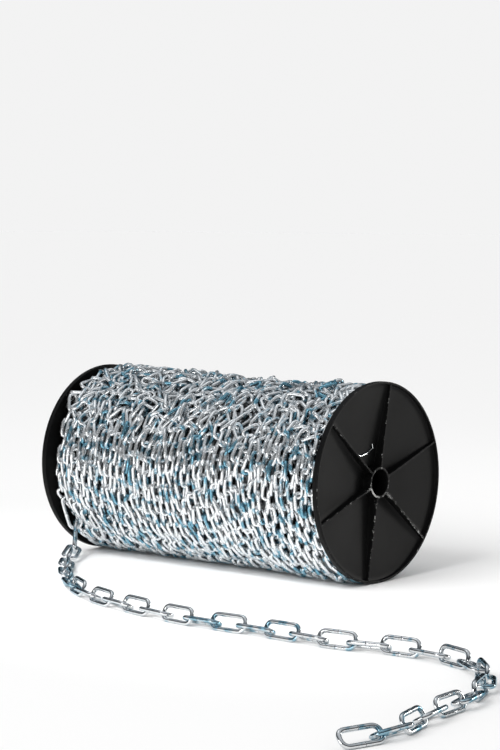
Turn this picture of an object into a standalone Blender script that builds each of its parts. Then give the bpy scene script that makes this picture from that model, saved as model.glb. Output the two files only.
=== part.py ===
# A reel of steel chain lying on its side: two moulded flanges on a core tube, the chain
# wound between them, a wire tie on the right flange, and the chain's free end on the floor.
import bpy
import bmesh
from math import cos, pi, radians, sin
from mathutils import Matrix, Vector

# Reel, in metres
flange_diameter = 0.250
reel_length = 0.466
rim_width = 0.003
rim_depth = 0.0045
web_thickness = 0.0028
hub_depth = 0.012
bore_diameter = 0.033
hub_wall = 0.0028
rib_count = 6
rib_thickness = 0.0022
rib_recess = 0.0004
first_rib_angle = 19.5
core_diameter = 0.070
core_wall = 0.003
spigot_length = 0.008
spigot_wall = 0.0025
spigot_clearance = 0.0004
seat_margin = 0.006

# Chain
wire_diameter = 0.0049
link_inside_length = 0.040
link_outside_width = 0.0215
tail_slack = 0.0028
tail_links = 36

# Where the free end leaves the pile: in from the left flange's face, and out from the shoulder
tail_inset = 0.018
tail_standoff = 0.002

# Wound pile: its ridges are the turns of chain, and it is lower in a shoulder at the left flange
pile_diameter = 0.235
turn_spacing = 0.0142
groove_depth = 0.0145
ridge_share = 0.6
ridge_fall = 0.005
shoulder_flat = 0.027
shoulder_width = 0.034
shoulder_diameter = 0.206

# Wire tie through a hole in the right flange
tie_wire_diameter = 0.0018
tie_hole_diameter = 0.007
tie_hole_place = (-0.0045, 0.0475)
tie_bends = ((-0.0040, 0.0420), (-0.0150, 0.0372), (-0.0280, 0.0345), (-0.0385, 0.0380))

# Gap kept where two pieces touch
touch_gap = 0.0003

flange_steps = 42
pile_steps = 34
arc_steps = 5

# The free end's route round the pile's shoulder: x from where it leaves the pile, distance out
# from the shoulder, angle in degrees below the reel's axis, and the roll of every other link
shoulder_route = (
    (0.0005, 0.0120, 0, 88),
    (0.0005, 0.0110, 11.4, 88),
    (0.0020, 0.0046, 24.1, 81),
    (-0.0010, 0.0054, 33.4, 69),
    (0.0090, 0.0155, 42.4, 81),
)

# The route from there to the last link: x and y from where the free end leaves the pile, height
# of the chain's axis over the floor, and the same roll. Near the floor the height is that of the
# links that stand on edge between the others.
floor_route = (
    (0.0035, 0.0165, 0.0304, 94),
    (0.0115, 0.0175, 0.0192, 81),
    (0.0250, -0.0030, 0.0133, 83),
    (0.0450, -0.0330, 0.0083, 65),
    (0.0610, -0.0500, 0.0071, 68),
    (0.1055, -0.0995, 0.0079, 65),
    (0.1705, -0.1590, 0.0073, 66),
    (0.2305, -0.1990, 0.0074, 67),
    (0.2970, -0.2265, 0.0072, 59),
    (0.3725, -0.2435, 0.0078, 73),
    (0.4515, -0.2540, 0.0078, 68),
    (0.5200, -0.2510, 0.0070, 65),
    (0.5905, -0.2500, 0.0079, 69),
    (0.6595, -0.2505, 0.0074, 65),
    (0.7345, -0.2350, 0.0076, 70),
    (0.8130, -0.2455, 0.0077, 77),
    (0.8675, -0.2840, 0.0077, 77),
    (0.9015, -0.3315, 0.0085, 98),
    (0.9205, -0.3920, 0.0078, 107),
    (0.9260, -0.4510, 0.0071, 123),
    (0.9410, -0.5225, 0.0075, 113),
    (0.9280, -0.5830, 0.0063, 143),
)

flange_radius = flange_diameter / 2
bore_radius = bore_diameter / 2
hub_radius = bore_radius + hub_wall
core_radius = core_diameter / 2
spigot_radius = core_radius - core_wall - spigot_clearance
seat_radius = core_radius + seat_margin
seat_depth = hub_depth + web_thickness
pile_radius = pile_diameter / 2
wire_radius = wire_diameter / 2
half_width = (link_outside_width - wire_diameter) / 2
half_length = (link_inside_length + wire_diameter) / 2
link_step = link_inside_length - tail_slack
shoulder_radius = shoulder_diameter / 2

# A flange rests on one flat of its faceted rim
axis_height = flange_radius * cos(pi / flange_steps)


def web_depth(radius):
    """Depth of the dished web's outer face below the rim, at a radius."""
    share = (flange_radius - rim_width - radius) / (flange_radius - rim_width - hub_radius)
    return rim_depth + (hub_depth - rim_depth) * share


def clear_scene():
    for old in list(bpy.data.objects):
        bpy.data.objects.remove(old, do_unlink=True)


def make_collection(name):
    collection = bpy.data.collections.new(name)
    bpy.context.scene.collection.children.link(collection)
    return collection


def make_material(name, colour, roughness, metallic):
    material = bpy.data.materials.new(name)
    material.use_nodes = True
    shader = material.node_tree.nodes["Principled BSDF"]
    shader.inputs["Base Color"].default_value = (*colour, 1)
    shader.inputs["Roughness"].default_value = roughness
    shader.inputs["Metallic"].default_value = metallic
    return material


def add_object(name, mesh, collection, material=None):
    item = bpy.data.objects.new(name, mesh)
    collection.objects.link(item)
    if material and not mesh.materials:
        mesh.materials.append(material)
    return item


def hide_cutter(item):
    item.hide_render = True
    item.display_type = "WIRE"


def add_turned(name, profile, steps, collection, material):
    """A solid of revolution about local Z, from a closed profile of (radius, z) points."""
    mesh = bpy.data.meshes.new(name)
    points = [(radius, 0, z) for radius, z in profile]
    edges = [(i, (i + 1) % len(points)) for i in range(len(points))]
    mesh.from_pydata(points, edges, [])
    item = add_object(name, mesh, collection, material)
    screw = item.modifiers.new("Turn", "SCREW")
    screw.steps = steps
    screw.render_steps = steps
    screw.use_merge_vertices = True
    screw.merge_threshold = 0.00001
    return item


def bake(item, name):
    """Replace an object by a mesh object that holds its evaluated shape."""
    depsgraph = bpy.context.evaluated_depsgraph_get()
    mesh = bpy.data.meshes.new_from_object(item.evaluated_get(depsgraph))
    mesh.name = name
    bm = bmesh.new()
    bm.from_mesh(mesh)
    bmesh.ops.remove_doubles(bm, verts=bm.verts, dist=0.000001)
    bm.to_mesh(mesh)
    bm.free()
    place = item.matrix_world.copy()
    collection = item.users_collection[0]
    bpy.data.objects.remove(item, do_unlink=True)
    baked = bpy.data.objects.new(name, mesh)
    baked.matrix_world = place
    collection.objects.link(baked)
    return baked


def add_ribs(name, collection):
    """Radial ribs from the hub to the rim, sunk into the web and just below the rim's face."""
    inner = hub_radius - hub_wall / 2
    outer = flange_radius - rim_width / 2
    bm = bmesh.new()
    for index in range(rib_count):
        rib = bmesh.ops.create_cube(bm, size=1)["verts"]
        for vert in rib:
            radius = inner if vert.co.x < 0 else outer
            side = rib_thickness / 2 if vert.co.y > 0 else -rib_thickness / 2
            root = -web_depth(radius) - web_thickness / 2
            vert.co = Vector((radius, side, -rib_recess if vert.co.z > 0 else root))
        angle = radians(first_rib_angle) + 2 * pi * index / rib_count
        bmesh.ops.rotate(bm, verts=rib, cent=(0, 0, 0), matrix=Matrix.Rotation(angle, 3, "Z"))
    mesh = bpy.data.meshes.new(name)
    bm.to_mesh(mesh)
    bm.free()
    item = add_object(name, mesh, collection)
    hide_cutter(item)
    return item


def add_tie_hole(collection):
    bm = bmesh.new()
    bmesh.ops.create_cone(bm, cap_ends=True, segments=16, radius1=tie_hole_diameter / 2,
                          radius2=tie_hole_diameter / 2, depth=4 * seat_depth)
    mesh = bpy.data.meshes.new("tie_hole_cutter")
    bm.to_mesh(mesh)
    bm.free()
    item = add_object("tie_hole_cutter", mesh, collection)
    item.location = (tie_hole_place[0], tie_hole_place[1], 0)
    hide_cutter(item)
    return item


def add_boolean(item, operation, other):
    boolean = item.modifiers.new(other.name, "BOOLEAN")
    boolean.operation = operation
    boolean.solver = "EXACT"
    boolean.object = other


def build_flange(name, outward, parts, cutters, material, root):
    """A moulded flange with its outer face at local z = 0; outward is +1 for right, -1 for left."""
    seat = -seat_depth
    web_inner = web_depth(seat_radius) + web_thickness
    profile = [
        (flange_radius, 0),
        (flange_radius, -rim_depth - web_thickness),
        (flange_radius - rim_width, -rim_depth - web_thickness),
        (seat_radius, -web_inner),
        (seat_radius, seat),
        (spigot_radius, seat),
        (spigot_radius, seat - spigot_length),
        (spigot_radius - spigot_wall, seat - spigot_length),
        (spigot_radius - spigot_wall, seat),
        (bore_radius, seat),
        (bore_radius, 0),
        (hub_radius, 0),
        (hub_radius, -hub_depth),
        (flange_radius - rim_width, -rim_depth),
        (flange_radius - rim_width, 0),
    ]
    flange = add_turned(name + "_blank", profile, flange_steps, parts, material)
    ribs = add_ribs(name + "_ribs", cutters)
    add_boolean(flange, "UNION", ribs)
    if outward > 0:
        add_boolean(flange, "DIFFERENCE", add_tie_hole(cutters))
    flange = bake(flange, name)
    flange.data.shade_smooth()
    flange.data.set_sharp_from_angle(angle=radians(30))
    flange.parent = root
    flange.rotation_euler = (radians(90), 0, outward * radians(90))
    flange.location = (outward * reel_length / 2, 0, axis_height)
    return flange


def build_core_tube(parts, material, root):
    half = reel_length / 2 - seat_depth - touch_gap
    inner = core_radius - core_wall
    profile = [(core_radius, half), (core_radius, -half), (inner, -half), (inner, half)]
    tube = add_turned("core_tube", profile, pile_steps, parts, material)
    tube.parent = root
    tube.rotation_euler = (radians(90), 0, radians(90))
    tube.location = (0, 0, axis_height)
    return tube


def pile_outline(x):
    """Radius of the wound chain, which falls off in a shoulder beside the left flange."""
    left_edge = -reel_length / 2 + rim_depth + web_thickness
    share = min(1, max(0, (x - left_edge - shoulder_flat) / (shoulder_width - shoulder_flat)))
    rise = (1 - cos(pi * share)) / 2
    return shoulder_radius + (pile_radius - shoulder_radius) * rise


def build_wound_chain(parts, material, root):
    """The wound chain as one turned solid, with a groove between each two turns."""
    bore = core_radius + touch_gap
    end_at_core = reel_length / 2 - seat_depth - touch_gap
    right_radius = pile_radius - groove_depth / 2
    left_radius = shoulder_radius - groove_depth / 2
    right_end = reel_length / 2 - web_depth(right_radius) - web_thickness - touch_gap
    left_end = -reel_length / 2 + web_depth(left_radius) + web_thickness + touch_gap
    turns = round((right_end - left_end) / turn_spacing)
    spacing = (right_end - left_end) / turns
    profile = [(right_radius, right_end)]
    for turn in range(turns):
        middle = right_end - (turn + 0.5) * spacing
        for side, fall in ((1, ridge_fall), (0, 0), (-1, ridge_fall)):
            ridge = middle + side * spacing * ridge_share / 2
            profile.append((pile_outline(ridge) - fall, ridge))
        if turn < turns - 1:
            valley = middle - spacing / 2
            profile.append((pile_outline(valley) - groove_depth, valley))
    profile.append((left_radius, left_end))
    profile.append((seat_radius + touch_gap, -end_at_core))
    profile.append((bore, -end_at_core))
    profile.append((bore, end_at_core))
    profile.append((seat_radius + touch_gap, end_at_core))
    pile = add_turned("wound_chain", profile, pile_steps, parts, material)
    pile.data.shade_smooth()
    pile.parent = root
    pile.rotation_euler = (radians(90), 0, radians(90))
    pile.location = (0, 0, axis_height)
    return pile


def link_outline():
    """Centre line of one link along local X: two straight sides and two round ends."""
    straight = half_length - half_width
    points = []
    for end in (1, -1):
        for step in range(arc_steps + 1):
            angle = -pi / 2 + pi * step / arc_steps
            points.append((end * (straight + half_width * cos(angle)), end * half_width * sin(angle)))
    return points


def build_link_mesh(collection, material):
    """One link as a closed wire, made a mesh that every link of the free end shares."""
    curve = bpy.data.curves.new("link_wire", "CURVE")
    curve.dimensions = "3D"
    curve.bevel_depth = wire_radius
    curve.bevel_resolution = 1
    points = link_outline()
    spline = curve.splines.new("POLY")
    spline.points.add(len(points) - 1)
    for point, (x, y) in zip(spline.points, points):
        point.co = (x, y, 0, 1)
    spline.use_cyclic_u = True
    link = bake(add_object("link_wire", curve, collection), "link_wire")
    mesh = link.data
    bpy.data.objects.remove(link, do_unlink=True)
    mesh.materials.clear()
    mesh.materials.append(material)
    mesh.shade_smooth()
    return mesh


def smooth_route(route, samples=24):
    """Points along a Catmull-Rom curve through the route's own points."""
    knots = [Vector(point) for point in route]
    knots = [2 * knots[0] - knots[1]] + knots + [2 * knots[-1] - knots[-2]]
    points = []
    for before, start, end, after in zip(knots, knots[1:], knots[2:], knots[3:]):
        for sample in range(samples):
            t = sample / samples
            points.append(0.5 * (2 * start + (end - before) * t
                                 + (2 * before - 5 * start + 4 * end - after) * t * t
                                 + (3 * start - before - 3 * end + after) * t * t * t))
    points.append(knots[-2])
    return points


def contact_points(points, step):
    """Points one link apart in a straight line, from the route's free end back to the pile."""
    placed = [points[-1]]
    for here, there in zip(reversed(points[:-1]), reversed(points)):
        while (here - placed[-1]).xyz.length >= step:
            low, high = 0.0, 1.0
            for _ in range(30):
                middle = (low + high) / 2
                if (there.lerp(here, middle) - placed[-1]).xyz.length < step:
                    low = middle
                else:
                    high = middle
            placed.append(there.lerp(here, high))
            there = placed[-1]
    return placed


def rest_height(roll):
    """Height of a link's middle when it rests on one side, at this roll from the floor."""
    return wire_radius + half_width * abs(sin(roll))


def build_tail(parts, mesh, root):
    """The free end: a link between each two contact points, turned a quarter from the next.

    The quarter turns are counted from the pile, where the top link lies flat on the shoulder.
    """
    start_x = -reel_length / 2 + tail_inset
    start_y = -shoulder_radius - tail_standoff
    route = []
    for x, out, angle, roll in shoulder_route:
        radius = shoulder_radius + out
        below = radius * sin(radians(angle))
        route.append((start_x + x, -radius * cos(radians(angle)), axis_height - below, roll))
    for x, y, z, roll in floor_route:
        route.append((start_x + x, start_y + y, z, roll))
    points = contact_points(smooth_route(route), link_step)[:tail_links + 1]
    side = Vector((0, 0, 1)).cross((points[0] - points[1]).xyz)
    for index, (free, fixed) in enumerate(zip(points, points[1:])):
        direction = (free - fixed).xyz
        middle = ((free + fixed) / 2).xyz
        roll = radians((free.w + fixed.w) / 2)
        on_edge = (len(points) - 1 - index) % 2 == 1
        if middle.z < link_outside_width / 2:
            direction.z = 0
            if not on_edge:
                middle.z = rest_height(roll)
        if on_edge:
            roll -= pi / 2
        direction.normalize()
        side = (side - direction * side.dot(direction)).normalized()
        width = side * cos(roll) + direction.cross(side) * sin(roll)
        turned = Matrix((direction, width, direction.cross(width))).transposed()
        link = add_object("link_%02d" % (index + 1), mesh, parts)
        link.parent = root
        link.matrix_local = Matrix.Translation(middle) @ turned.to_4x4()


def build_tie(parts, material, root):
    """A bent wire that comes out of its hole and lies on the right flange's web."""
    bends = [tie_hole_place] + list(tie_bends)
    lift = tie_wire_diameter / 2 + touch_gap
    hole_x, hole_y = tie_hole_place
    inner_face = -web_depth((hole_x ** 2 + hole_y ** 2) ** 0.5) - web_thickness
    points = [Vector((hole_x, hole_y, inner_face + touch_gap))]
    for x, y in bends:
        points.append(Vector((x, y, lift - web_depth((x * x + y * y) ** 0.5))))
    curve = bpy.data.curves.new("tie_wire", "CURVE")
    curve.dimensions = "3D"
    curve.bevel_depth = tie_wire_diameter / 2
    curve.bevel_resolution = 1
    curve.use_fill_caps = True
    spline = curve.splines.new("POLY")
    spline.points.add(len(points) - 1)
    for place, point in zip(spline.points, points):
        place.co = (*point, 1)
    tie = bake(add_object("tie_wire_curve", curve, parts), "tie_wire")
    tie.data.materials.clear()
    tie.data.materials.append(material)
    tie.parent = root
    tie.rotation_euler = (radians(90), 0, radians(90))
    tie.location = (reel_length / 2, 0, axis_height)


def centre_on_box(parts, root):
    """Move the reel so that the middle of its box, seen from above, is at the origin."""
    bpy.context.view_layer.update()
    depsgraph = bpy.context.evaluated_depsgraph_get()
    xs, ys = [], []
    for item in parts.objects:
        mesh = item.evaluated_get(depsgraph).to_mesh()
        for vert in mesh.vertices:
            place = item.matrix_world @ vert.co
            xs.append(place.x)
            ys.append(place.y)
    root.location = (-(min(xs) + max(xs)) / 2, -(min(ys) + max(ys)) / 2, 0)


def main():
    clear_scene()
    parts = make_collection("chain_reel")
    cutters = make_collection("cutters")
    plastic = make_material("black_plastic", (0.02, 0.02, 0.02), 0.45, 0)
    zinc = make_material("zinc_plated_steel", (0.62, 0.65, 0.68), 0.3, 1)
    root = bpy.data.objects.new("reel_root", None)
    bpy.context.scene.collection.objects.link(root)
    build_flange("flange_left", -1, parts, cutters, plastic, root)
    build_flange("flange_right", 1, parts, cutters, plastic, root)
    build_core_tube(parts, plastic, root)
    build_wound_chain(parts, zinc, root)
    build_tie(parts, zinc, root)
    build_tail(parts, build_link_mesh(cutters, zinc), root)
    centre_on_box(parts, root)


main()
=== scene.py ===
# The looks of a reel of steel chain: fine links, a wound pile of real links and moulded flanges
import math
import bpy
import numpy as np
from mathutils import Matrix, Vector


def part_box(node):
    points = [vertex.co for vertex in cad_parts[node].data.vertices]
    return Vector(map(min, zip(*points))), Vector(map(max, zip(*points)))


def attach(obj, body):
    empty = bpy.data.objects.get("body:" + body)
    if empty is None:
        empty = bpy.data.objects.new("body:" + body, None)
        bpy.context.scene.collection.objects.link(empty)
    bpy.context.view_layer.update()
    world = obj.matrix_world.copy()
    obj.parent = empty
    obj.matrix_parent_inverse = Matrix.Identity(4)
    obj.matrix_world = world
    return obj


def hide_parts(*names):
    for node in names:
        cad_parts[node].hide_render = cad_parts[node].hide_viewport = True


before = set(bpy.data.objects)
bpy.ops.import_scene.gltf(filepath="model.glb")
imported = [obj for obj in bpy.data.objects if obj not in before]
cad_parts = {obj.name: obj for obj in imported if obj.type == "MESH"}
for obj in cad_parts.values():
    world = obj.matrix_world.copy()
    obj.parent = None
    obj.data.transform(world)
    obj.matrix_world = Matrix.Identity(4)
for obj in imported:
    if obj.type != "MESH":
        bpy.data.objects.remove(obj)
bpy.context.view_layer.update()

mm = 0.001


def corners(node):
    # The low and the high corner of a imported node's box
    low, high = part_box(node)
    return np.array(low, float), np.array(high, float)


# Where the reel stands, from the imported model
leftLow = corners("flange_left")[0]
rightLow, rightHigh = corners("flange_right")
reelHalf = (rightHigh[0] - leftLow[0]) / 2
reelRadius = (rightHigh[2] - rightLow[2]) / 2
reelMiddle = np.array([(rightHigh[0] + leftLow[0]) / 2, (rightHigh[1] + rightLow[1]) / 2, reelRadius])
linkNames = sorted(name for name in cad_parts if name.startswith("link_"))


# Meshes

def gridFaces(rows, cols):
    # Four-sided faces of a grid of points that closes on itself both ways
    row, col = np.meshgrid(np.arange(rows), np.arange(cols), indexing="ij")
    nextRow, nextCol = (row + 1) % rows, (col + 1) % cols
    quads = [row * cols + col, nextRow * cols + col, nextRow * cols + nextCol, row * cols + nextCol]
    return np.stack(quads, -1).reshape(-1, 4)


def facingOut(points, faces):
    # Turns the faces round where the volume that they enclose comes out negative. The volume grows by the
    # triple product of a face's first three corners, and of its first, third and fourth.
    first, second, third, fourth = (points[faces[:, k]] for k in range(4))
    volume = np.einsum("ij,ij->i", first, np.cross(second, third) + np.cross(third, fourth)).sum()
    return faces if volume > 0 else faces[:, ::-1]


def makePiece(name, points, faces, material, marks, node):
    # A piece at the origin, with its place in its mesh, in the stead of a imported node.
    # Marks are values kept for each point.
    faces = facingOut(points, faces)
    mesh = bpy.data.meshes.new(name)
    mesh.vertices.add(len(points))
    mesh.vertices.foreach_set("co", points.astype(np.float32).ravel())
    mesh.loops.add(faces.size)
    mesh.loops.foreach_set("vertex_index", faces.astype(np.int32).ravel())
    mesh.polygons.add(len(faces))
    mesh.polygons.foreach_set("loop_start", np.arange(0, faces.size, 4, dtype=np.int32))
    mesh.update(calc_edges=True)
    mesh.validate()
    for markName, values in marks.items():
        mark = mesh.attributes.new(markName, "FLOAT", "POINT")
        mark.data.foreach_set("value", np.asarray(values, np.float32))
    mesh.shade_smooth()
    piece = bpy.data.objects.new(name, mesh)
    bpy.context.scene.collection.objects.link(piece)
    mesh.materials.append(material)
    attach(piece, "root")
    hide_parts(node)
    return piece


# Shader nodes

def addNode(tree, kind, place, **settings):
    # A new node at a place in the node editor
    node = tree.nodes.new(kind)
    node.location = place
    for key, value in settings.items():
        setattr(node, key, value)
    return node


def mapRange(tree, value, source, goal, place):
    # The value carried in a straight line from the source range to the goal range, and held at its ends
    node = addNode(tree, "ShaderNodeMapRange", place)
    tree.links.new(value, node.inputs["Value"])
    for key, number in zip(("From Min", "From Max", "To Min", "To Max"), (*source, *goal)):
        node.inputs[key].default_value = number
    return node.outputs["Result"]


def mixColour(tree, factor, first, second, place):
    # The first colour at a factor of 0 and the second at 1; a colour is a tuple or a socket
    node = addNode(tree, "ShaderNodeMix", place, data_type="RGBA")
    tree.links.new(factor, node.inputs["Factor"])
    for name, colour in (("A", first), ("B", second)):
        socket = [s for s in node.inputs if s.name == name and s.type == "RGBA"][0]
        if isinstance(colour, tuple):
            socket.default_value = (*colour, 1)
        else:
            tree.links.new(colour, socket)
    return [s for s in node.outputs if s.type == "RGBA"][0]


def joinMath(tree, operation, first, second, place):
    # Two values, each a number or a socket, joined by one operation
    node = addNode(tree, "ShaderNodeMath", place, operation=operation)
    for index, value in enumerate((first, second)):
        if isinstance(value, (int, float)):
            node.inputs[index].default_value = value
        else:
            tree.links.new(value, node.inputs[index])
    return node.outputs[0]


def noise(tree, coordinates, kind, place):
    # Cloudy noise from 0 to 1. Its kind is the clouds to the metre, their detail and their roughness.
    node = addNode(tree, "ShaderNodeTexNoise", place)
    tree.links.new(coordinates, node.inputs["Vector"])
    for key, number in zip(("Scale", "Detail", "Roughness"), kind):
        node.inputs[key].default_value = number
    return node.outputs["Fac"]


def addBump(tree, shader, height, depth, strength, place):
    # Fine relief of a depth in metres, worked into the shader's normal
    bump = addNode(tree, "ShaderNodeBump", place)
    bump.inputs["Distance"].default_value = depth
    bump.inputs["Strength"].default_value = strength
    tree.links.new(height, bump.inputs["Height"])
    tree.links.new(bump.outputs["Normal"], shader.inputs["Normal"])


def newGroup(name, inputs, outputs):
    # A node group with named sockets, its input node and its output node
    group = bpy.data.node_groups.new(name, "ShaderNodeTree")
    for socket, kind, value in inputs:
        made = group.interface.new_socket(socket, in_out="INPUT", socket_type=kind)
        if value is not None:
            made.default_value = value
    for socket, kind in outputs:
        group.interface.new_socket(socket, in_out="OUTPUT", socket_type=kind)
    return group, addNode(group, "NodeGroupInput", (-1200, 0)), addNode(group, "NodeGroupOutput", (900, 0))


def newMaterial(name):
    # A material with its node tree and its shader
    material = bpy.data.materials.new(name)
    material.use_nodes = True
    tree = material.node_tree
    return material, tree, tree.nodes["Principled BSDF"]


# Zinc plating, shared by every link and the wire tie

plating = {
    # each noise as clouds to the metre, detail and roughness
    "clouds": (75.0, 2.0, 0.5),     # the blue patches
    "drops": (120.0, 2.0, 0.5),     # the grey stains
    "grain": (260.0, 2.0, 0.5),
    "toneShift": 0.22,              # how far a link's own tone moves its patches
    "blueFrom": (0.655, 0.765),     # the noise between which the blue comes in
    "blueColour": (0.14, 0.35, 0.46),
    "greyFrom": (0.58, 0.72),
    "greyColour": (0.34, 0.32, 0.30),
    "grainFrom": (0.35, 0.65),
    "grainShade": (0.92, 1.0),
    "channels": (("Red", 0.975), ("Green", 0.99), ("Blue", 1.0)),
    "roughFrom": (0.3, 0.7),
    "roughShare": (0.9, 1.15),      # of the polish, over the grain
    "weldColour": (0.10, 0.10, 0.11),
    "bumpDepth": 0.08 * mm,
    "bumpStrength": 0.14,
}


def zincPlateGroup():
    # Bright plate times a fine grain, then mixed to blue where the clouds plus the link's tone are high,
    # and to grey where the drops are high. The roughness is the polish times the grain, and the height
    # is the sum of grain and clouds.
    group, given, made = newGroup("zinc plate", [
        ("Position", "NodeSocketVector", None),
        ("Tone", "NodeSocketFloat", 0.5),
        ("Bright", "NodeSocketFloat", 0.86),
        ("Blue", "NodeSocketFloat", 0.5),
        ("Grime", "NodeSocketFloat", 0.3),
        ("Polish", "NodeSocketFloat", 0.25),
    ], [("Color", "NodeSocketColor"), ("Roughness", "NodeSocketFloat"), ("Height", "NodeSocketFloat")])
    place = given.outputs["Position"]
    clouds = noise(group, place, plating["clouds"], (-900, 200))
    fine = noise(group, place, plating["grain"], (-900, -50))
    drops = noise(group, place, plating["drops"], (-900, -300))

    shift = joinMath(group, "MULTIPLY", given.outputs["Tone"], plating["toneShift"], (-700, 60))
    shifted = joinMath(group, "ADD", clouds, shift, (-520, 200))
    blue = mapRange(group, shifted, plating["blueFrom"], (0.0, 1.0), (-340, 200))
    blue = joinMath(group, "MULTIPLY", blue, given.outputs["Blue"], (-160, 200))
    grey = mapRange(group, drops, plating["greyFrom"], (0.0, 1.0), (-340, -100))
    grey = joinMath(group, "MULTIPLY", grey, given.outputs["Grime"], (-160, -100))

    shade = mapRange(group, fine, plating["grainFrom"], plating["grainShade"], (-340, 420))
    shade = joinMath(group, "MULTIPLY", shade, given.outputs["Bright"], (-160, 420))
    plate = addNode(group, "ShaderNodeCombineColor", (20, 420))
    for channel, share in plating["channels"]:
        group.links.new(joinMath(group, "MULTIPLY", shade, share, (-60, 500)), plate.inputs[channel])
    stained = mixColour(group, blue, plate.outputs["Color"], plating["blueColour"], (200, 300))
    finished = mixColour(group, grey, stained, plating["greyColour"], (400, 250))
    group.links.new(finished, made.inputs["Color"])

    rough = mapRange(group, fine, plating["roughFrom"], plating["roughShare"], (200, 0))
    rough = joinMath(group, "MULTIPLY", rough, given.outputs["Polish"], (400, 0))
    group.links.new(rough, made.inputs["Roughness"])
    group.links.new(joinMath(group, "ADD", fine, clouds, (400, -200)), made.inputs["Height"])
    return group


def zincMaterial(name, look):
    # The plate on metal, darker at the weld mark of each link's side
    material, tree, shader = newMaterial(name)
    shader.inputs["Metallic"].default_value = look["metallic"]
    shader.inputs["Specular Tint"].default_value = (*look["edgeTint"], 1)
    skin = addNode(tree, "ShaderNodeGroup", (-500, 100), node_tree=zincPlate)
    coordinates = addNode(tree, "ShaderNodeTexCoord", (-900, 100))
    tone = addNode(tree, "ShaderNodeAttribute", (-900, -150), attribute_name="tone")
    weld = addNode(tree, "ShaderNodeAttribute", (-900, -350), attribute_name="weld")
    tree.links.new(coordinates.outputs["Object"], skin.inputs["Position"])
    tree.links.new(tone.outputs["Fac"], skin.inputs["Tone"])
    for socket in ("Bright", "Blue", "Grime", "Polish"):
        skin.inputs[socket].default_value = look[socket.lower()]
    colour = mixColour(tree, weld.outputs["Fac"], skin.outputs["Color"], plating["weldColour"], (-200, 200))
    tree.links.new(colour, shader.inputs["Base Color"])
    tree.links.new(skin.outputs["Roughness"], shader.inputs["Roughness"])
    height = skin.outputs["Height"]
    addBump(tree, shader, height, plating["bumpDepth"], plating["bumpStrength"], (-200, -200))
    return material


# Links

freeLink = {
    "wire": 4.9 * mm,
    "insideLength": 40.0 * mm,
    "outsideWidth": 21.5 * mm,
    "slack": 2.8 * mm,              # the inside length less the way from link to link
    "endPoints": 13,                # points along each end
    "sides": 14,                    # round the wire
    # points on the straight sides, as distances from their middles
    "stations": (0.0, 0.16 * mm, 0.34 * mm, 0.6 * mm, 1.1 * mm, 2.0 * mm, 3.2 * mm, 7.0 * mm),
    "toneSeed": 7,
}
# The photograph shows the wound links much smaller than the free end's
woundLink = {
    "wire": 4.9 * mm,
    "insideLength": 18.6 * mm,
    "outsideWidth": 14.8 * mm,
    "slack": 0.9 * mm,
    "endPoints": 5,
    "sides": 6,
    "underSides": 5,                # round the wire of the links that lie deep
    "stations": (),
}
linkDetail = {
    "endSquareness": 2.35,          # 2 is a round end, more is squarer
    "groove": 0.32 * mm,            # half width of the dark weld line at the middle of each side
    "grooveDepth": 0.10,            # as a share of the wire's radius
    "grooveDark": 0.85,
    "swell": 1.9 * mm,              # half width of the swelling around it
    "swellHeight": 0.05,
}
woundStep = woundLink["insideLength"] - woundLink["slack"]      # the way from one wound link to the next


def linkShape(link, sides):
    # A closed wire: two straight sides, joined by ends whose outline is a superellipse,
    # with a circle swept along it that swells round each side's middle and is grooved there
    wireRadius = link["wire"] / 2
    halfWidth = link["outsideWidth"] / 2 - wireRadius
    straight = link["insideLength"] / 2 + wireRadius - halfWidth
    power = 2 / linkDetail["endSquareness"]
    turn = np.linspace(-math.pi / 2, math.pi / 2, link["endPoints"])
    endX = straight + halfWidth * np.abs(np.cos(turn)) ** power
    endY = halfWidth * np.sign(np.sin(turn)) * np.abs(np.sin(turn)) ** power
    endX[0] = endX[-1] = straight
    along = np.array(sorted({-s for s in link["stations"]} | set(link["stations"])))
    centre = np.concatenate([
        np.stack([endX, endY], 1),
        np.stack([along[::-1], np.full(len(along), halfWidth)], 1),
        np.stack([-endX, -endY], 1),
        np.stack([along, np.full(len(along), -halfWidth)], 1),
    ])
    farAway = np.full(link["endPoints"], 1.0)
    distance = np.concatenate([farAway, np.abs(along), farAway, np.abs(along)])
    swell = np.exp(-(distance / linkDetail["swell"]) ** 2)
    groove = np.exp(-(distance / linkDetail["groove"]) ** 2)
    radius = wireRadius * (1 + linkDetail["swellHeight"] * swell - linkDetail["grooveDepth"] * groove)
    tangent = np.roll(centre, -1, 0) - np.roll(centre, 1, 0)
    tangent /= np.linalg.norm(tangent, axis=1)[:, None]
    outward = np.stack([tangent[:, 1], -tangent[:, 0]], 1)
    ring = np.linspace(0, 2 * math.pi, sides, endpoint=False)
    across = radius[:, None] * np.cos(ring)
    points = np.empty((len(centre), sides, 3))
    points[:, :, :2] = centre[:, None] + across[:, :, None] * outward[:, None]
    points[:, :, 2] = radius[:, None] * np.sin(ring)
    dark = np.repeat(linkDetail["grooveDark"] * groove, sides)
    return points.reshape(-1, 3), gridFaces(len(centre), sides), dark


def placeLinks(shape, middles, along, across):
    # Copies one link to each middle, with its length along one direction and its width along another.
    # A point's place is the middle plus its three coordinates times the link's three directions.
    points, faces, dark = shape
    frames = np.stack([along, across, np.cross(along, across)], 1)
    placed = middles[:, None] + np.einsum("vk,lkc->lvc", points, frames)
    shift = (np.arange(len(middles)) * len(points))[:, None, None]
    return placed.reshape(-1, 3), (faces[None] + shift).reshape(-1, 4), np.tile(dark, len(middles))


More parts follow.
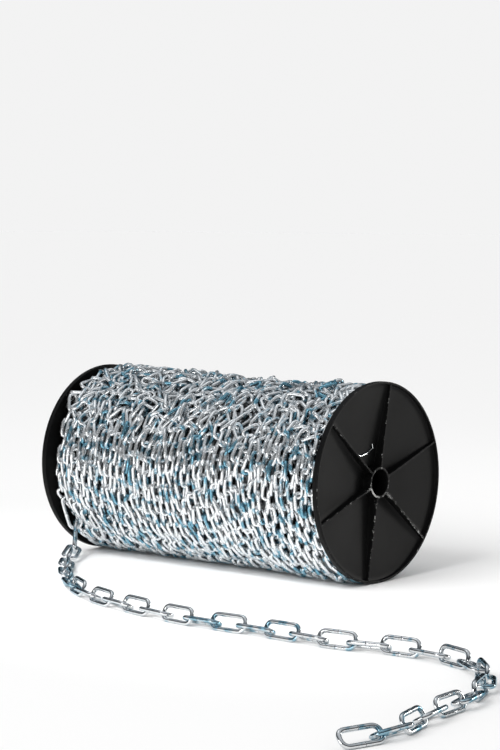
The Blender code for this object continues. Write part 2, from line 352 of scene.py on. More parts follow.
def nodeFrame(name):
    # Middle of a packed link's box, and its length and width directions: the two in which its points
    # spread most
    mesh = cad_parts[name].data
    points = np.empty(len(mesh.vertices) * 3, np.float32)
    mesh.vertices.foreach_get("co", points)
    points = points.reshape(-1, 3).astype(float)
    middle = (points.min(0) + points.max(0)) / 2
    axes = np.linalg.eigh(np.cov((points - points.mean(0)).T))[1]
    return middle, axes[:, 2], axes[:, 1]


def buildFreeEnd(material):
    # Each link of the free end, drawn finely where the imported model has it
    shape = linkShape(freeLink, freeLink["sides"])
    tones = np.random.default_rng(freeLink["toneSeed"]).random(len(linkNames))
    for name, tone in zip(linkNames, tones):
        middle, along, across = nodeFrame(name)
        points, faces, dark = placeLinks(shape, middle[None], along[None], across[None])
        marks = {"tone": np.full(len(points), tone), "weld": dark}
        makePiece("free_" + name, points, faces, material, marks, name)
    print("free end:", len(linkNames), "links")


# The wound pile. Angles go round the reel from the horizontal on its front, upwards.

pile = {
    "axisRadius": 113.0 * mm,       # from the reel's axis to the middle of the outer strand
    "turnSpacing": 10.2 * mm,
    "layers": 2,
    "layerDrop": 8.8 * mm,
    "stepDown": 100,                # degrees in which the strand sinks to the next layer
    "sideRoom": 14.0 * mm,          # from a flange's outer face to the nearest strand's middle
    "shoulderDrop": 6.0 * mm,       # how much lower the front and the back lie beside the left flange
    "shoulderEnd": (-206.0 * mm, -186.0 * mm),
    "underside": (0.55, 0.85),      # how far below the axis, as a share of the radius, it begins and is full
    "cornerFrom": (202.0 * mm, 212.0 * mm),     # where the under layer comes up beside the flanges there
    "sag": 5.5 * mm,                # how much lower the loose turns hang on the underside
    "rightSag": 6.0 * mm,           # and more at the right
    "rightSagFrom": (80.0 * mm, 170.0 * mm),
    "greatestRadius": 122.5 * mm,
    # rise of the top's outline over the even pile: distance along the reel in metres, rise in mm
    "topRise": (
        (-0.233, 4.0), (-0.191, 5.0), (-0.145, 3.0), (-0.094, 1.0), (-0.037, 1.0), (0.011, -0.5),
        (0.042, -1.0), (0.080, -3.0), (0.110, -7.0), (0.140, 0.5), (0.160, 1.5), (0.190, -1.0),
        (0.233, -1.0)),
}
jumble = {
    "from": (16.0, 44.0),           # degrees between which the even turns pass into the jumble on top
    "to": (150.0, 172.0),
    "across": 8.0 * mm,             # how far the strand wanders over the top
    "up": 2.0 * mm,
    "looseAcross": 1.3 * mm,        # and everywhere
    "looseUp": 0.8 * mm,
    # lengths of the wanderings along the strand, in metres, and the seed of their phases
    "acrossWaves": ((0.083, 0.119, 0.167, 0.241), 3),
    "looseWaves": ((0.11, 0.17, 0.29), 5),
    "upWaves": ((0.083, 0.149, 0.211), 11),
    "looseFrom": (0.02, 0.25),      # metres from the free end in which the strand comes to lie freely
    "joinLength": 0.15,             # metres in which it comes up from the free end's link
}


def smoothStep(value, low, high):
    # 0 up to the low value and 1 from the high one, with 3 s^2 - 2 s^3 between them
    share = np.clip((value - low) / (high - low), 0, 1)
    return share * share * (3 - 2 * share)


def between(ends, share):
    # The first end at a share of 0 and the second at 1
    return ends[0] + (ends[1] - ends[0]) * share


def waves(distance, lengths, seed):
    # A smooth random line: the sum of sines of several wavelengths, each at its own phase, over the root
    # of half their number, so that its spread is the same for any number
    phases = np.random.default_rng(seed).random(len(lengths)) * 2 * math.pi
    total = sum(np.sin(2 * math.pi * distance / length + phase) for length, phase in zip(lengths, phases))
    return total / math.sqrt(len(lengths) / 2)


def topWeight(angle):
    # 1 over the top of the pile, where the chain lies jumbled, and 0 round its front, back and underside
    degrees = np.degrees(angle) % 360
    return smoothStep(degrees, *jumble["from"]) * (1 - smoothStep(degrees, *jumble["to"]))


def strandRadius(x, angle, layer):
    # The even pile's radius, less the shoulder at the left, plus the sag on the underside and the rise
    # on top, less the drop of each layer. The under layer comes up in the corners of the underside.
    top = topWeight(angle)
    below = smoothStep(-np.sin(angle), *pile["underside"])
    shoulder = pile["shoulderDrop"] * (1 - smoothStep(x, *pile["shoulderEnd"])) * (1 - top) * (1 - below)
    depth = layer * (1 - below * smoothStep(np.abs(x), *pile["cornerFrom"]))
    sag = pile["sag"] + pile["rightSag"] * smoothStep(x, *pile["rightSagFrom"])
    sag = sag * np.clip(-np.sin(angle), 0, 1) ** 3
    spots, rises = np.array(pile["topRise"]).T
    rise = top * np.interp(x, spots, rises) * mm
    return pile["axisRadius"] - shoulder + sag + rise - depth * pile["layerDrop"]


def woundRoute(start):
    # The strand as a helix that runs to the right flange, steps down a layer and comes back,
    # as angles round the reel and distances along it, one point each degree. Waves make it wander.
    end = reelHalf - pile["sideRoom"]
    angles, xs, layers = [], [], []
    angle, x, way = math.atan2(start[2], -start[1]), start[0], 1
    for layer in range(pile["layers"]):
        target = end * way
        turns = abs(target - x) / pile["turnSpacing"]
        count = int(turns * 360)
        share = np.arange(count) / count
        angles.append(angle + share * turns * 2 * math.pi)
        xs.append(x + (target - x) * share)
        sinking = smoothStep(np.arange(count), 0, pile["stepDown"])
        layers.append(layer - 1 + sinking if layer else np.zeros(count))
        angle, x, way = angle + turns * 2 * math.pi, target, -way
    angles, xs, layers = (np.concatenate(part) for part in (angles, xs, layers))
    distance = np.arange(len(angles)) * math.radians(1) * pile["axisRadius"]
    loose = smoothStep(distance, *jumble["looseFrom"])
    top = topWeight(angles) * loose
    x = xs + waves(distance, *jumble["acrossWaves"]) * jumble["across"] * top
    x = x + waves(distance, *jumble["looseWaves"]) * jumble["looseAcross"] * loose
    up = jumble["up"] * top + jumble["looseUp"] * loose
    radius = strandRadius(xs, angles, layers) + waves(distance, *jumble["upWaves"]) * up
    rise = smoothStep(distance, 0, jumble["joinLength"])
    radius = math.hypot(start[1], start[2]) * (1 - rise) + radius * rise
    route = np.stack([x, -radius * np.cos(angles), radius * np.sin(angles)], 1)
    route[0] = start
    return route, layers


def evenSteps(route, layers, step):
    # Points one link apart, by the length of the line
    lengths = np.concatenate([[0], np.cumsum(np.linalg.norm(np.diff(route, axis=0), axis=1))])
    stops = np.arange(0, lengths[-1], step)
    points = np.stack([np.interp(stops, lengths, route[:, k]) for k in range(3)], 1)
    return points, np.interp(stops, lengths, layers)


settling = {
    "rounds": 60,
    "searchEvery": 6,               # rounds between two searches for strands that lie too near
    "searchRoom": 3.0 * mm,         # how much further than the room it looks
    "room": 8.7 * mm,               # nearest that two strands' middles come
    "neighbours": 3,                # beads along one strand that may lie nearer
    "push": 0.25,                   # share of an overlap that each bead gives way in a round
    "stretch": (-1.0 * mm, 0.8 * mm),           # play in the way from link to link
    "springBack": 0.12,             # share of the way back to its layer that the strand goes in a round
    "endRoom": 1.2 * mm,            # how much nearer to the flanges than its route it may come
    "leastGap": 0.01 * mm,
}


def closePairs(beads, order, room):
    # Beads of different stretches of the strand that lie nearer to each other than the room. The square
    # of a distance is the sum of both beads' squares, less twice their dot product.
    square = (beads ** 2).sum(1)
    apart = square[:, None] + square[None] - 2 * beads @ beads.T
    first, second = np.nonzero(apart < room ** 2)
    keep = (first < second) & (np.abs(order[first] - order[second]) > settling["neighbours"])
    return first[keep], second[keep]


def settleStrand(points, layers):
    # Pushes strands apart where they run into each other, keeps each link's length and lets the
    # strand spring back to its layer. The first point stays, because the free end hangs from it.
    # A bead is a joint between two links or a link's middle.
    points = points.copy()
    anchor = points[0].copy()
    end = reelHalf - pile["sideRoom"] + settling["endRoom"]
    room = settling["room"]
    shortest, longest = (woundStep + play for play in settling["stretch"])
    count = len(points)
    order = np.concatenate([np.arange(count) * 2, np.arange(count - 1) * 2 + 1])
    for turn in range(settling["rounds"]):
        beads = np.concatenate([points, (points[:-1] + points[1:]) / 2])
        if turn % settling["searchEvery"] == 0:
            first, second = closePairs(beads, order, room + settling["searchRoom"])
        gap = beads[first] - beads[second]
        distance = np.maximum(np.linalg.norm(gap, axis=1), settling["leastGap"])
        shove = gap * (settling["push"] * np.maximum(room - distance, 0) / distance)[:, None]
        moves = np.zeros_like(beads)
        np.add.at(moves, first, shove)
        np.add.at(moves, second, -shove)
        points += moves[:count]
        points[:-1] += moves[count:] / 2
        points[1:] += moves[count:] / 2
        for parity in (0, 1):
            near, far = points[parity:-1:2], points[parity + 1::2]
            line = far - near
            length = np.linalg.norm(line, axis=1)
            change = line * (0.5 * (length - np.clip(length, shortest, longest)) / length)[:, None]
            near += change
            far -= change
        radius = np.hypot(points[:, 1], points[:, 2])
        angle = np.arctan2(points[:, 2], -points[:, 1])
        goal = strandRadius(points[:, 0], angle, layers)
        wanted = np.clip(radius + settling["springBack"] * (goal - radius), 0, pile["greatestRadius"])
        points[:, 1:] *= (wanted / radius)[:, None]
        points[:, 0] = np.clip(points[:, 0], -end, end)
        points[0] = anchor
    return points


corner = {
    "x": -220.5 * mm,
    "radius": 98.0 * mm,
    "from": 12.0,                   # degrees above the axis, on the front
    "to": -52.0,
    "rise": 12.0 * mm,              # how much further out its middle lies
    "middle": -20.0,
    "reach": 18.0,
}


def cornerStretch():
    # A few links of the under layer that show behind the free end, beside the left flange.
    # Their radius rises by a bell curve over the angle.
    step = -math.degrees(woundStep / corner["radius"])
    angle = np.arange(corner["from"], corner["to"], step)
    bell = np.exp(-((angle - corner["middle"]) / corner["reach"]) ** 2)
    radius = corner["radius"] + corner["rise"] * bell
    angle = np.radians(angle)
    return np.stack([np.full(len(angle), corner["x"]), -radius * np.cos(angle), radius * np.sin(angle)], 1)


lay = {
    "seed": 4,
    # a pair of angles is for the even turns and for the jumble, in degrees
    "swing": (6.0, 38.0),           # how far a link turns out of the strand
    "mostSwing": 2.0,               # the largest draw counted, in widths of the spread
    "tilt": (5.0, 17.0),            # how far its end stands up out of the pile
    "mostTilt": 1.3,
    "lean": 45.0,                   # degrees that a pair of links is rolled about the strand
    "leanDrift": (26.0, 42.0),
    "leanWaves": ((5.3, 8.9, 13.7), 21),        # lengths of the drift in links, and the seed of its phases
    "leanSpread": 8.0,
    "evenBeside": (22.0 * mm, 34.0 * mm),       # from a flange's face, where the lean passes into the drift
    "freeAfter": 4,                 # links from the free end in which they come to lie freely
    "leanAfter": 7,
    "flangeGap": 0.4 * mm,
    "floorGap": 0.3 * mm,
    "shownX": -196.0 * mm,          # the under layer is seen to the left of this
    "shownBelow": 0.05,             # and this far below the axis, as a share of the radius
}


def turnedBy(vectors, axes, angles):
    # Vectors turned about axes at right angles to them: the vector times the cosine of the angle,
    # plus the cross product of axis and vector times its sine
    return vectors * np.cos(angles)[:, None] + np.cross(axes, vectors) * np.sin(angles)[:, None]


def strandLinks(start):
    # Middle, direction and layer of each wound link, halfway between two points of the settled strand
    route, layers = woundRoute(start)
    points, layers = evenSteps(route, layers, woundStep)
    points = settleStrand(points, layers)
    extra = cornerStretch()
    middles = np.concatenate([(points[1:] + points[:-1]) / 2, (extra[1:] + extra[:-1]) / 2])
    layers = np.concatenate([(layers[1:] + layers[:-1]) / 2, np.zeros(len(extra) - 1)])
    forward = np.concatenate([points[1:] - points[:-1], extra[1:] - extra[:-1]])
    forward /= np.linalg.norm(forward, axis=1)[:, None]
    return middles, forward, layers


def swungLinks(middles, forward, top, chance):
    # Each link has play in its neighbours: it swings about the line out of the pile, then its end tips
    # up or down, each by a random draw. Gives its length, across and outward directions.
    radial = middles * np.array([0, 1, 1])
    radial -= forward * np.einsum("ij,ij->i", radial, forward)[:, None]
    radial /= np.linalg.norm(radial, axis=1)[:, None]
    count = len(middles)
    free = smoothStep(np.arange(count), 0, lay["freeAfter"])
    draw = np.clip(chance.normal(size=count), -lay["mostSwing"], lay["mostSwing"])
    forward = turnedBy(forward, radial, draw * np.radians(between(lay["swing"], top)) * free)
    sideways = np.cross(forward, radial)
    draw = np.clip(chance.normal(size=count), -lay["mostTilt"], lay["mostTilt"])
    forward = turnedBy(forward, sideways, draw * np.radians(between(lay["tilt"], top)) * free)
    return forward, sideways, np.cross(sideways, forward)


def linkWidths(middles, top, sideways, radial, firstAcross, chance):
    # Each link is turned a quarter from the last. The lean of a pair drifts in waves along the strand,
    # is even beside the flanges, and starts from the free end's top link. The width is the across
    # direction times the roll's cosine, plus the outward one times its sine.
    index = np.arange(len(middles))
    lean = lay["lean"] + between(lay["leanDrift"], top) * waves(index, *lay["leanWaves"])
    lean = lean + lay["leanSpread"] * chance.normal(size=len(middles))
    byFlange = 1 - smoothStep(reelHalf - np.abs(middles[:, 0]), *lay["evenBeside"])
    lean = lean + (lay["lean"] - lean) * byFlange
    startRoll = math.degrees(math.atan2(firstAcross @ radial[0], firstAcross @ sideways[0])) + 90
    goal = lean + 90 * np.round((startRoll - lean[0]) / 90)
    blend = smoothStep(index, 0, lay["leanAfter"])
    roll = np.radians(startRoll * (1 - blend) + goal * blend + 90 * index)
    return sideways * np.cos(roll)[:, None] + radial * np.sin(roll)[:, None]


def linkReach(lengthPart, widthPart):
    # How far a link reaches from its middle along an axis, from the shares of its length and width
    # directions that lie along it: the straight part, the round end and the wire's radius
    wireRadius = woundLink["wire"] / 2
    halfWidth = woundLink["outsideWidth"] / 2 - wireRadius
    straight = woundLink["insideLength"] / 2 + wireRadius - halfWidth
    return halfWidth * np.hypot(lengthPart, widthPart) + straight * np.abs(lengthPart) + wireRadius


def keepClear(middles, forward, width):
    # A link that would reach into a flange or the floor moves away from it
    reach = linkReach(forward[:, 0], width[:, 0])
    web = webDepth(np.hypot(middles[:, 1], middles[:, 2])) + flange["webThickness"]
    inner = reelHalf - web - lay["flangeGap"]
    middles[:, 0] = np.clip(middles[:, 0], reach - inner, inner - reach)
    reach = linkReach(forward[:, 2], width[:, 2])
    middles[:, 2] = np.maximum(middles[:, 2], reach + lay["floorGap"] - reelMiddle[2])


def buildWoundChain(outerMaterial, underMaterial):
    # Real links along a strand that starts at the free end's top link, in three joined pieces
    middle, along, across = nodeFrame(linkNames[-1])
    if along[2] < 0:
        along = -along
    start = middle + along * (freeLink["insideLength"] - freeLink["slack"]) / 2 - reelMiddle
    middles, forward, layers = strandLinks(start)
    angle = np.arctan2(middles[:, 2], -middles[:, 1])
    top = topWeight(angle)
    chance = np.random.default_rng(lay["seed"])
    forward, sideways, radial = swungLinks(middles, forward, top, chance)
    width = linkWidths(middles, top, sideways, radial, across, chance)
    keepClear(middles, forward, width)
    tones = chance.random(len(middles))
    places = middles + reelMiddle
    # Behind the free end the under layer shows, so there it has the outer links' material instead of the
    # painted shade
    shown = (middles[:, 0] < lay["shownX"]) & (np.sin(angle) < -lay["shownBelow"])
    outer, left = (layers < 0.5) | shown, middles[:, 0] < 0
    outerShape = linkShape(woundLink, woundLink["sides"])
    underShape = linkShape(woundLink, woundLink["underSides"])
    for name, chosen, shape, material in (
        ("wound_turns_outer_left", outer & left, outerShape, outerMaterial),
        ("wound_turns_outer_right", outer & ~left, outerShape, outerMaterial),
        ("wound_turns_under", ~outer, underShape, underMaterial),
    ):
        points, faces, dark = placeLinks(shape, places[chosen], forward[chosen], width[chosen])
        marks = {"tone": np.repeat(tones[chosen], len(shape[0])), "weld": dark}
        makePiece(name, points, faces, material, marks, "wound_chain")
    print("wound chain:", len(middles), "links")


heart = {
    "radius": 95.0 * mm,
    "lump": 2.0 * mm,               # how much the turns stand out of it
    "coreRadius": 35.3 * mm,
    "end": 217.0 * mm,
    "rings": 160,
    "columns": 72,
    "tone": 0.3,
}


def buildHeart(material):
    # The hidden inner turns, as one drum painted nearly black as painted shade under the two layers of
    # links.
    # Its radius is a cosine along the reel, with one wave for each turn, and its profile is turned round the
    # reel's axis.
    spots = np.linspace(-heart["end"], heart["end"], heart["rings"])
    lumps = heart["radius"] + heart["lump"] * np.cos(2 * math.pi * spots / pile["turnSpacing"])
    x = np.concatenate([spots, [heart["end"], -heart["end"]]])[:, None]
    radius = np.concatenate([lumps, [heart["coreRadius"]] * 2])[:, None]
    turn = np.linspace(0, 2 * math.pi, heart["columns"], endpoint=False)
    points = np.stack([x + 0 * turn, radius * np.cos(turn), radius * np.sin(turn)], -1)
    points = points.reshape(-1, 3) + reelMiddle
    marks = {"tone": np.full(len(points), heart["tone"]), "weld": np.zeros(len(points))}
    faces = gridFaces(len(x), heart["columns"])
    makePiece("wound_turns_inside", points, faces, material, marks, "wound_chain")


# The flanges

flange = {
    "rimWidth": 3.0 * mm,
    "rimDepth": 4.5 * mm,
    "webThickness": 2.8 * mm,
    "hubDepth": 12.0 * mm,
    "boreRadius": 16.5 * mm,
    "hubRadius": 19.3 * mm,
    "seatRadius": 41.0 * mm,
    "seatDepth": 14.8 * mm,
    "spigotRadius": 31.6 * mm,
    "spigotWall": 2.5 * mm,
    "spigotLength": 8.0 * mm,
    "ribCount": 6,
    "ribRecess": 0.4 * mm,
    "firstRibAngle": 19.5,          # degrees
    # over a rib's top: mm from its middle, mm below its top, and wear with painted glints
    "ribTop": (
        (-1.10, 0.34, 1.0), (-0.86, 0.07, 1.0), (-0.30, 0.0, 0.55),
        (0.30, 0.0, 0.55), (0.86, 0.07, 1.0), (1.10, 0.34, 1.0)),
    # beside it, on both sides: mm from its middle, and mm above the web
    "ribFoot": ((1.20, 1.20), (1.45, 0.38), (2.0, 0.0)),
    "ribEdge": 0.34 * mm,           # the ribs' sides end this far below their tops
    "ribEnd": 0.1 * mm,             # how far the ribs run into the rim
    # rounded edges and feet: mm out from the radius, mm down from the depth, and wear with painted glints
    "boreEdge": ((0, 0.6, 0.3), (0.15, 0.16, 0.8), (0.55, 0, 1.0)),
    "hubEdge": ((-0.6, 0, 1.0), (-0.15, 0.17, 0.9), (0, 0.65, 0.4)),
    "hubFoot": ((0.1, -1.3, 0), (0.45, -0.35, 0)),
    "rimFoot": ((-0.4, -0.3, 0), (0, -1.1, 0)),
    "rimInnerEdge": ((0.05, 0.7, 0.2), (0.22, 0.16, 0.7), (0.7, 0, 0.8)),
    "rimOuterEdge": ((-0.75, 0, 0.8), (-0.22, 0.16, 1.0), (0, 0.75, 0.6)),
    "rimBackEdge": ((0, -0.6, 0.3), (-0.25, -0.12, 0.6), (-0.8, 0, 0.4)),
    "sideRing": 6.0 * mm,           # depth of a ring on the bore's wall and on the hub's side
    "hubDraft": 0.02 * mm,          # how much wider the hub is there
    "webSpots": (21, 26, 33, 42, 52, 63, 75, 87, 99, 109, 116),     # radii of the outer face's rings, in mm
    "webEnd": 1.3 * mm,             # the last one's distance from the rim
    "backSpots": (105, 85, 65, 50),             # radii of the inner face's rings, in mm
    "openColumns": 14,              # between two ribs
    "sharpFrom": 38.0,              # degrees between two faces
    # places where the edges are scuffed and painted with pale glints most, in mm: to the right, up, reach,
    # and how much more
    "scuffSpots": ((-15, -13, 11, 1.0), (22, -18, 8, 0.8), (80, -66, 34, 0.45), (-2, -70, 40, 0.12)),
}


def webDepth(radius):
    # Depth of the dished web's outer face, in a straight line from the hub to the rim
    outer = reelRadius - flange["rimWidth"]
    share = (outer - radius) / (outer - flange["hubRadius"])
    return flange["rimDepth"] + (flange["hubDepth"] - flange["rimDepth"]) * share


def rounded(radius, depth, edge):
    # Rows of (radius, depth, wear with painted glints) for a rounded edge or foot: each step is added to its
    # place
    return [(radius + out * mm, depth + down * mm, wearAndGlint) for out, down, wearAndGlint in flange[edge]]


def flangeSection():
    # The section from the bore over the outer face to the rim, and back along the inner face: radius,
    # depth below the outer face, wear with painted glints, and whether the ribs rise through it, which they
    # do from the hub's side to the rim's inside
    bore, hub, rim = flange["boreRadius"], flange["hubRadius"], reelRadius
    inner, rimDepth = rim - flange["rimWidth"], flange["rimDepth"]
    web, sideRing = flange["webThickness"], flange["sideRing"]
    seatRadius, seat = flange["seatRadius"], flange["seatDepth"]
    spigot, spigotEnd = flange["spigotRadius"], flange["seatDepth"] + flange["spigotLength"]
    spigotInside = spigot - flange["spigotWall"]
    webSpots = [spot * mm for spot in flange["webSpots"]] + [inner - flange["webEnd"]]
    backSpots = [spot * mm for spot in flange["backSpots"]] + [seatRadius]

    face = [(bore, seat, 0), (bore, sideRing, 0)] + rounded(bore, 0, "boreEdge")
    face += rounded(hub, 0, "hubEdge") + [(hub + flange["hubDraft"], sideRing, 0)]
    face += rounded(hub, webDepth(hub), "hubFoot") + [(spot, webDepth(spot), 0) for spot in webSpots]
    face += rounded(inner, rimDepth, "rimFoot") + rounded(inner, 0, "rimInnerEdge")
    face += rounded(rim, 0, "rimOuterEdge")
    back = rounded(rim, rimDepth + web, "rimBackEdge") + [(inner, rimDepth + web, 0)]
    back += [(spot, webDepth(spot) + web, 0) for spot in backSpots]
    back += [(seatRadius, seat, 0), (spigot, seat, 0)]
    back += [(spigot, spigotEnd, 0), (spigotInside, spigotEnd, 0), (spigotInside, seat, 0)]

    radius, depth, wearAndGlint = np.array(face + back, float).T
    ribbed = (radius >= hub) & (radius < inner + flange["ribEnd"])
    ribbed[len(face):] = False
    return radius, depth, wearAndGlint, ribbed


def ribColumns(depth, wearAndGlint, ribbed):
    # The columns across one rib, as (distance from its middle, depths, wears with painted glints). On its
    # top the depth is the rib's, and at its foot the web's, less a fillet.
    columns = []
    for offset, drop, wornAndGlint in flange["ribTop"]:
        top = flange["ribRecess"] + drop * mm
        depths = np.where(ribbed, np.minimum(depth, top), depth)
        columns.append((offset, depths, np.where(ribbed & (depth > top), wornAndGlint, wearAndGlint)))
    highest = np.minimum(depth, flange["ribRecess"] + flange["ribEdge"])
    for offset, lift in flange["ribFoot"]:
        depths = np.where(ribbed, np.maximum(depth - lift * mm, highest), depth)
        columns += [(-offset, depths, wearAndGlint), (offset, depths, wearAndGlint)]
    return sorted(columns, key=lambda column: column[0])


def buildFlange(name, outward, material):
    # The section is carried round the axis along columns. Near a rib they are lines parallel to it, and
    # between two ribs they share out the angle, so the ribs' walls are straight and their width is even.
    # The wear mark, which also carries painted glints, is multiplied by one plus a bell curve round each
    # scuffed and glinting place.
    radius, depth, wearAndGlint, ribbed = flangeSection()
    sector = 2 * math.pi / flange["ribCount"]
    edge = np.arcsin(flange["ribFoot"][-1][0] * mm / radius)
    acrossRib = ribColumns(depth, wearAndGlint, ribbed)
    angles, depths, wearsAndGlints = [], [], []
    for index in range(flange["ribCount"]):
        base = math.radians(flange["firstRibAngle"]) + index * sector
        for offset, columnDepth, columnWearAndGlint in acrossRib:
            angles.append(base + np.arcsin(offset * mm / radius))
            depths.append(columnDepth)
            wearsAndGlints.append(columnWearAndGlint)
        for share in np.linspace(0, 1, flange["openColumns"] + 2)[1:-1]:
            angles.append(base + edge + (sector - 2 * edge) * share)
            depths.append(depth)
            wearsAndGlints.append(wearAndGlint)
    angles, depths, wearsAndGlints = (np.stack(part, 1) for part in (angles, depths, wearsAndGlints))
    right, up = radius[:, None] * np.cos(angles), radius[:, None] * np.sin(angles)
    for spotRight, spotUp, reach, amount in flange["scuffSpots"]:
        far = np.hypot(right - spotRight * mm, up - spotUp * mm)
        wearsAndGlints = wearsAndGlints * (1 + amount * np.exp(-(far / (reach * mm)) ** 2))
    points = np.stack([outward * (reelHalf - depths), outward * right, up], -1).reshape(-1, 3) + reelMiddle
    faces = gridFaces(*angles.shape)
    marks = {"wearAndGlint": wearsAndGlints.ravel()}
    piece = makePiece(name + "_moulding", points, faces, material, marks, name)
    piece.data.set_sharp_from_angle(angle=math.radians(flange["sharpFrom"]))


mouldedPlastic = {
    # each noise as clouds to the metre, detail and roughness
    "dustNoise": (14.0, 5.0, 0.6),
    "chipNoise": (300.0, 4.0, 0.7),
    "grainNoise": (1400.0, 3.0, 0.6),
    "colour": (0.0025, 0.0025, 0.0025),
    "dust": (0.004, 0.004, 0.004),
    "dustFrom": (0.35, 0.7),        # the noise between which the dust comes in
    # pale colour of the scuffs, and of the painted glints on the edges
    "scuff": (0.42, 0.42, 0.41),
    "wearAndGlintShare": 0.3,               # how far full wear with painted glints lifts the noise of the chips
    "chipsFrom": (0.88, 0.98),      # the lifted noise between which the pale scuffs and painted glints come in
    "shine": 0.115,
    "roughFrom": (0.3, 0.7),        # noise of the dust, and the roughness that goes with it
    "rough": (0.42, 0.56),
    "scuffRough": -0.12,
    "grainDepth": 0.06 * mm,
    "grainStrength": 0.4,
}


def blackPlasticMaterial(look):
    # Satin moulded plastic: a faint grain, dusty clouds, and pale scuffs with painted glints where the
    # chips' noise plus the mark of wear and painted glints is high
    material, tree, shader = newMaterial("black moulded plastic")
    coordinates = addNode(tree, "ShaderNodeTexCoord", (-1400, 0)).outputs["Object"]
    wearAndGlint = addNode(tree, "ShaderNodeAttribute", (-1400, -300), attribute_name="wearAndGlint").outputs["Fac"]
    grain = noise(tree, coordinates, look["grainNoise"], (-1150, -500))
    dust = noise(tree, coordinates, look["dustNoise"], (-1150, 200))
    chips = noise(tree, coordinates, look["chipNoise"], (-1150, -100))
    lift = joinMath(tree, "MULTIPLY", wearAndGlint, look["wearAndGlintShare"], (-1000, -250))
    chipGlintNoise = joinMath(tree, "ADD", chips, lift, (-900, -100))
    scuffed = mapRange(tree, chipGlintNoise, look["chipsFrom"], (0.0, 1.0), (-700, -150))
    dustShare = mapRange(tree, dust, look["dustFrom"], (0.0, 1.0), (-900, 200))
    dusty = mixColour(tree, dustShare, look["colour"], look["dust"], (-500, 200))
    # the pale scuffs and the painted glints are painted into the colour here
    wornAndGlint = mixColour(tree, scuffed, dusty, look["scuff"], (-300, 150))
    tree.links.new(wornAndGlint, shader.inputs["Base Color"])
    even = mapRange(tree, dust, look["roughFrom"], look["rough"], (-500, -50))
    smoother = joinMath(tree, "MULTIPLY", scuffed, look["scuffRough"], (-500, -200))
    rough = joinMath(tree, "ADD", even, smoother, (-300, -100))
    tree.links.new(rough, shader.inputs["Roughness"])
    shader.inputs["Specular IOR Level"].default_value = look["shine"]
    addBump(tree, shader, grain, look["grainDepth"], look["grainStrength"], (-300, -400))
    return material


# Floor, lights and camera

studio = {
    "floorHalf": 30.0,
    "floorColour": (0.93, 0.93, 0.93, 1),
    "floorRough": 0.8,
    "ambient": (0.60, 0.60, 0.60),
    "backdrop": (0.895, 0.895, 0.895),          # as light as the far floor
    # what the metal mirrors, from a dark horizon to a light zenith, and the heights where they pass
    "mirroredLow": (0.03, 0.035, 0.04),
    "mirroredHigh": (0.58, 0.61, 0.64),
    "mirroredFrom": (0.32, 0.90),
    "sunPower": 1.85,
    "sunWidth": 40.0,               # degrees
    "sunDown": 52.0,                # degrees from straight above, towards the front
    "sunAside": -9.0,
}
# name, place and aim from the reel's middle, size, watts, colour, spread in degrees, seen in the metal
areaLights = (
    ("back key", (1.6, 2.45, 0.40), (0, 0, 0), (0.8, 0.5), 3.3, (1.0, 0.98, 0.95), 75, True),
    ("top soft box", (-0.6, -0.5, 2.4), (0, 0, 0), (1.6, 1.2), 4.5, (1.0, 1.0, 1.0), 180, True),
    ("front low light", (0.2, -3.0, 0.16), (0, 0, 0), (1.8, 0.4), 15.0, (1.0, 1.0, 1.0), 180, True),
    ("floor strip", (0, -0.95, 1.1), (0, -0.21, -reelRadius), (0.9, 0.1), 0.65, (1.0, 1.0, 1.0), 32, False),
)


def buildFloor():
    # One plain pale square, without gloss
    half = studio["floorHalf"]
    points = [(-half, -half, 0), (half, -half, 0), (half, half, 0), (-half, half, 0)]
    mesh = bpy.data.meshes.new("floor")
    mesh.from_pydata(points, [], [(0, 1, 2, 3)])
    floor = bpy.data.objects.new("floor", mesh)
    bpy.context.scene.collection.objects.link(floor)
    material, _, shader = newMaterial("pale floor")
    shader.inputs["Base Color"].default_value = studio["floorColour"]
    shader.inputs["Roughness"].default_value = studio["floorRough"]
    shader.inputs["Specular IOR Level"].default_value = 0.0
    mesh.materials.append(material)


def buildWorld():
    # An even light, a pale backdrop, and a gradient over the height that only the metal mirrors
    world = bpy.data.worlds.new("studio")
    bpy.context.scene.world = world
    world.use_nodes = True
    tree = world.node_tree
    background = tree.nodes["Background"]
    direction = addNode(tree, "ShaderNodeTexCoord", (-900, 0)).outputs["Generated"]
    split = addNode(tree, "ShaderNodeSeparateXYZ", (-700, 0))
    tree.links.new(direction, split.inputs[0])
    height = mapRange(tree, split.outputs["Z"], studio["mirroredFrom"], (0.0, 1.0), (-500, 0))
    mirrored = mixColour(tree, height, studio["mirroredLow"], studio["mirroredHigh"], (-300, 0))
    rays = addNode(tree, "ShaderNodeLightPath", (-500, 300)).outputs
    ambient = mixColour(tree, rays["Is Camera Ray"], studio["ambient"], studio["backdrop"], (-100, 300))
    shown = mixColour(tree, rays["Is Glossy Ray"], ambient, mirrored, (100, 100))
    tree.links.new(shown, background.inputs["Color"])
    background.inputs["Strength"].default_value = 1.0


def addLamp(name, kind, power, mirrored):
    # A lamp whose shape the metal mirrors, or one that only lights
    light = bpy.data.lights.new(name, kind)
    light.energy = power
    lamp = bpy.data.objects.new(name, light)
    bpy.context.scene.collection.objects.link(lamp)
    lamp.visible_glossy = mirrored
    return lamp


def buildLights():
    # Each area light stands at its place and is turned towards its aim; the sun fills from the front
    for name, place, aim, size, power, colour, spread, mirrored in areaLights:
        lamp = addLamp(name, "AREA", power, mirrored)
        lamp.data.shape = "RECTANGLE"
        lamp.data.size, lamp.data.size_y = size
        lamp.data.color = colour
        lamp.data.spread = math.radians(spread)
        lamp.location = reelMiddle + np.array(place)
        x, y, z = np.array(aim, float) - np.array(place, float)
        lamp.rotation_euler = (math.pi / 2 + math.atan2(z, math.hypot(x, y)), 0, math.atan2(-x, y))
    sun = addLamp("front fill", "SUN", studio["sunPower"], False)
    sun.data.angle = math.radians(studio["sunWidth"])
    sun.rotation_euler = (math.radians(studio["sunDown"]), 0, math.radians(studio["sunAside"]))
    bpy.context.scene.view_settings.view_transform = "Standard"


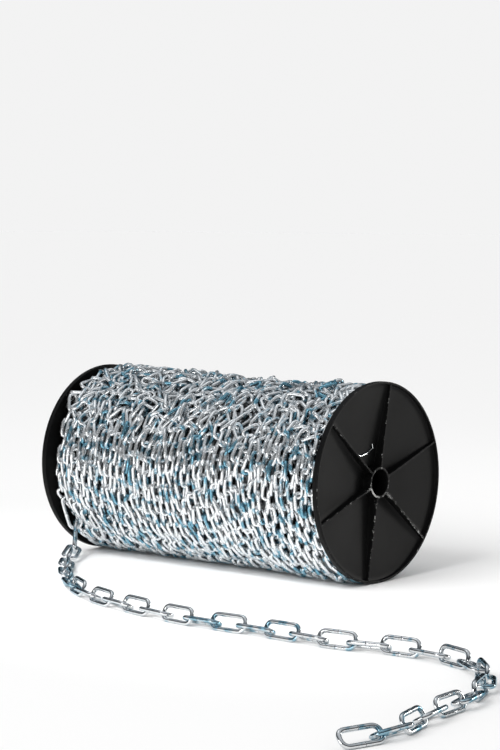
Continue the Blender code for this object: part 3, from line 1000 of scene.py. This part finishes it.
view = {
    "fromReel": (1.8524, -2.1511),  # the camera's place on the floor, from the reel's middle
    "height": 0.4613,
    "heading": 40.38,               # degrees to the left of straight ahead
    "down": 4.337,
    "lens": 105.6,                  # mm, as the sensor's width
    "sensor": 36.0,
    "clip": (0.05, 200.0),
}


def buildCamera():
    # The camera where the photograph was taken from
    camera = bpy.data.cameras.new("camera")
    camera.lens = view["lens"]
    camera.sensor_width = view["sensor"]
    camera.clip_start, camera.clip_end = view["clip"]
    holder = bpy.data.objects.new("camera", camera)
    bpy.context.scene.collection.objects.link(holder)
    holder.location = (*(reelMiddle[:2] + view["fromReel"]), view["height"])
    holder.rotation_euler = (math.radians(90 - view["down"]), 0, math.radians(view["heading"]))
    bpy.context.scene.camera = holder


buildCamera()
print("camera stands")
zincPlate = zincPlateGroup()
brightZinc = zincMaterial("bright zinc", {
    "metallic": 1.0, "bright": 0.80, "blue": 0.8, "grime": 0.05, "polish": 0.13,
    "edgeTint": (0.30, 0.44, 0.52)})
woundZinc = zincMaterial("wound zinc", {
    "metallic": 0.87, "bright": 0.93, "blue": 0.95, "grime": 0.28, "polish": 0.25,
    "edgeTint": (0.42, 0.54, 0.62)})
# The under layer's links, painted dark as painted shade between the two layers of links
paintedShadeZinc = zincMaterial("painted shade zinc", {
    "metallic": 0.9, "bright": 0.16, "blue": 0.6, "grime": 0.4, "polish": 0.34,
    "edgeTint": (0.3, 0.35, 0.4)})
# Nearly black: painted shade for the hidden inner turns that show through the gaps
paintedShadowZinc = zincMaterial("inner zinc painted as shadow", {
    "metallic": 0.5, "bright": 0.02, "blue": 0.0, "grime": 0.0, "polish": 0.6,
    "edgeTint": (0.1, 0.1, 0.1)})
plastic = blackPlasticMaterial(mouldedPlastic)
print("materials made")
buildFreeEnd(brightZinc)
buildWoundChain(woundZinc, paintedShadeZinc)
buildHeart(paintedShadowZinc)
buildFlange("flange_left", -1, plastic)
buildFlange("flange_right", 1, plastic)
print("flanges moulded")
for node, material in (("core_tube", plastic), ("tie_wire", brightZinc)):
    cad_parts[node].data.materials.clear()
    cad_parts[node].data.materials.append(material)
print("core tube and wire tie finished")
buildFloor()
buildWorld()
buildLights()
print("studio lit")
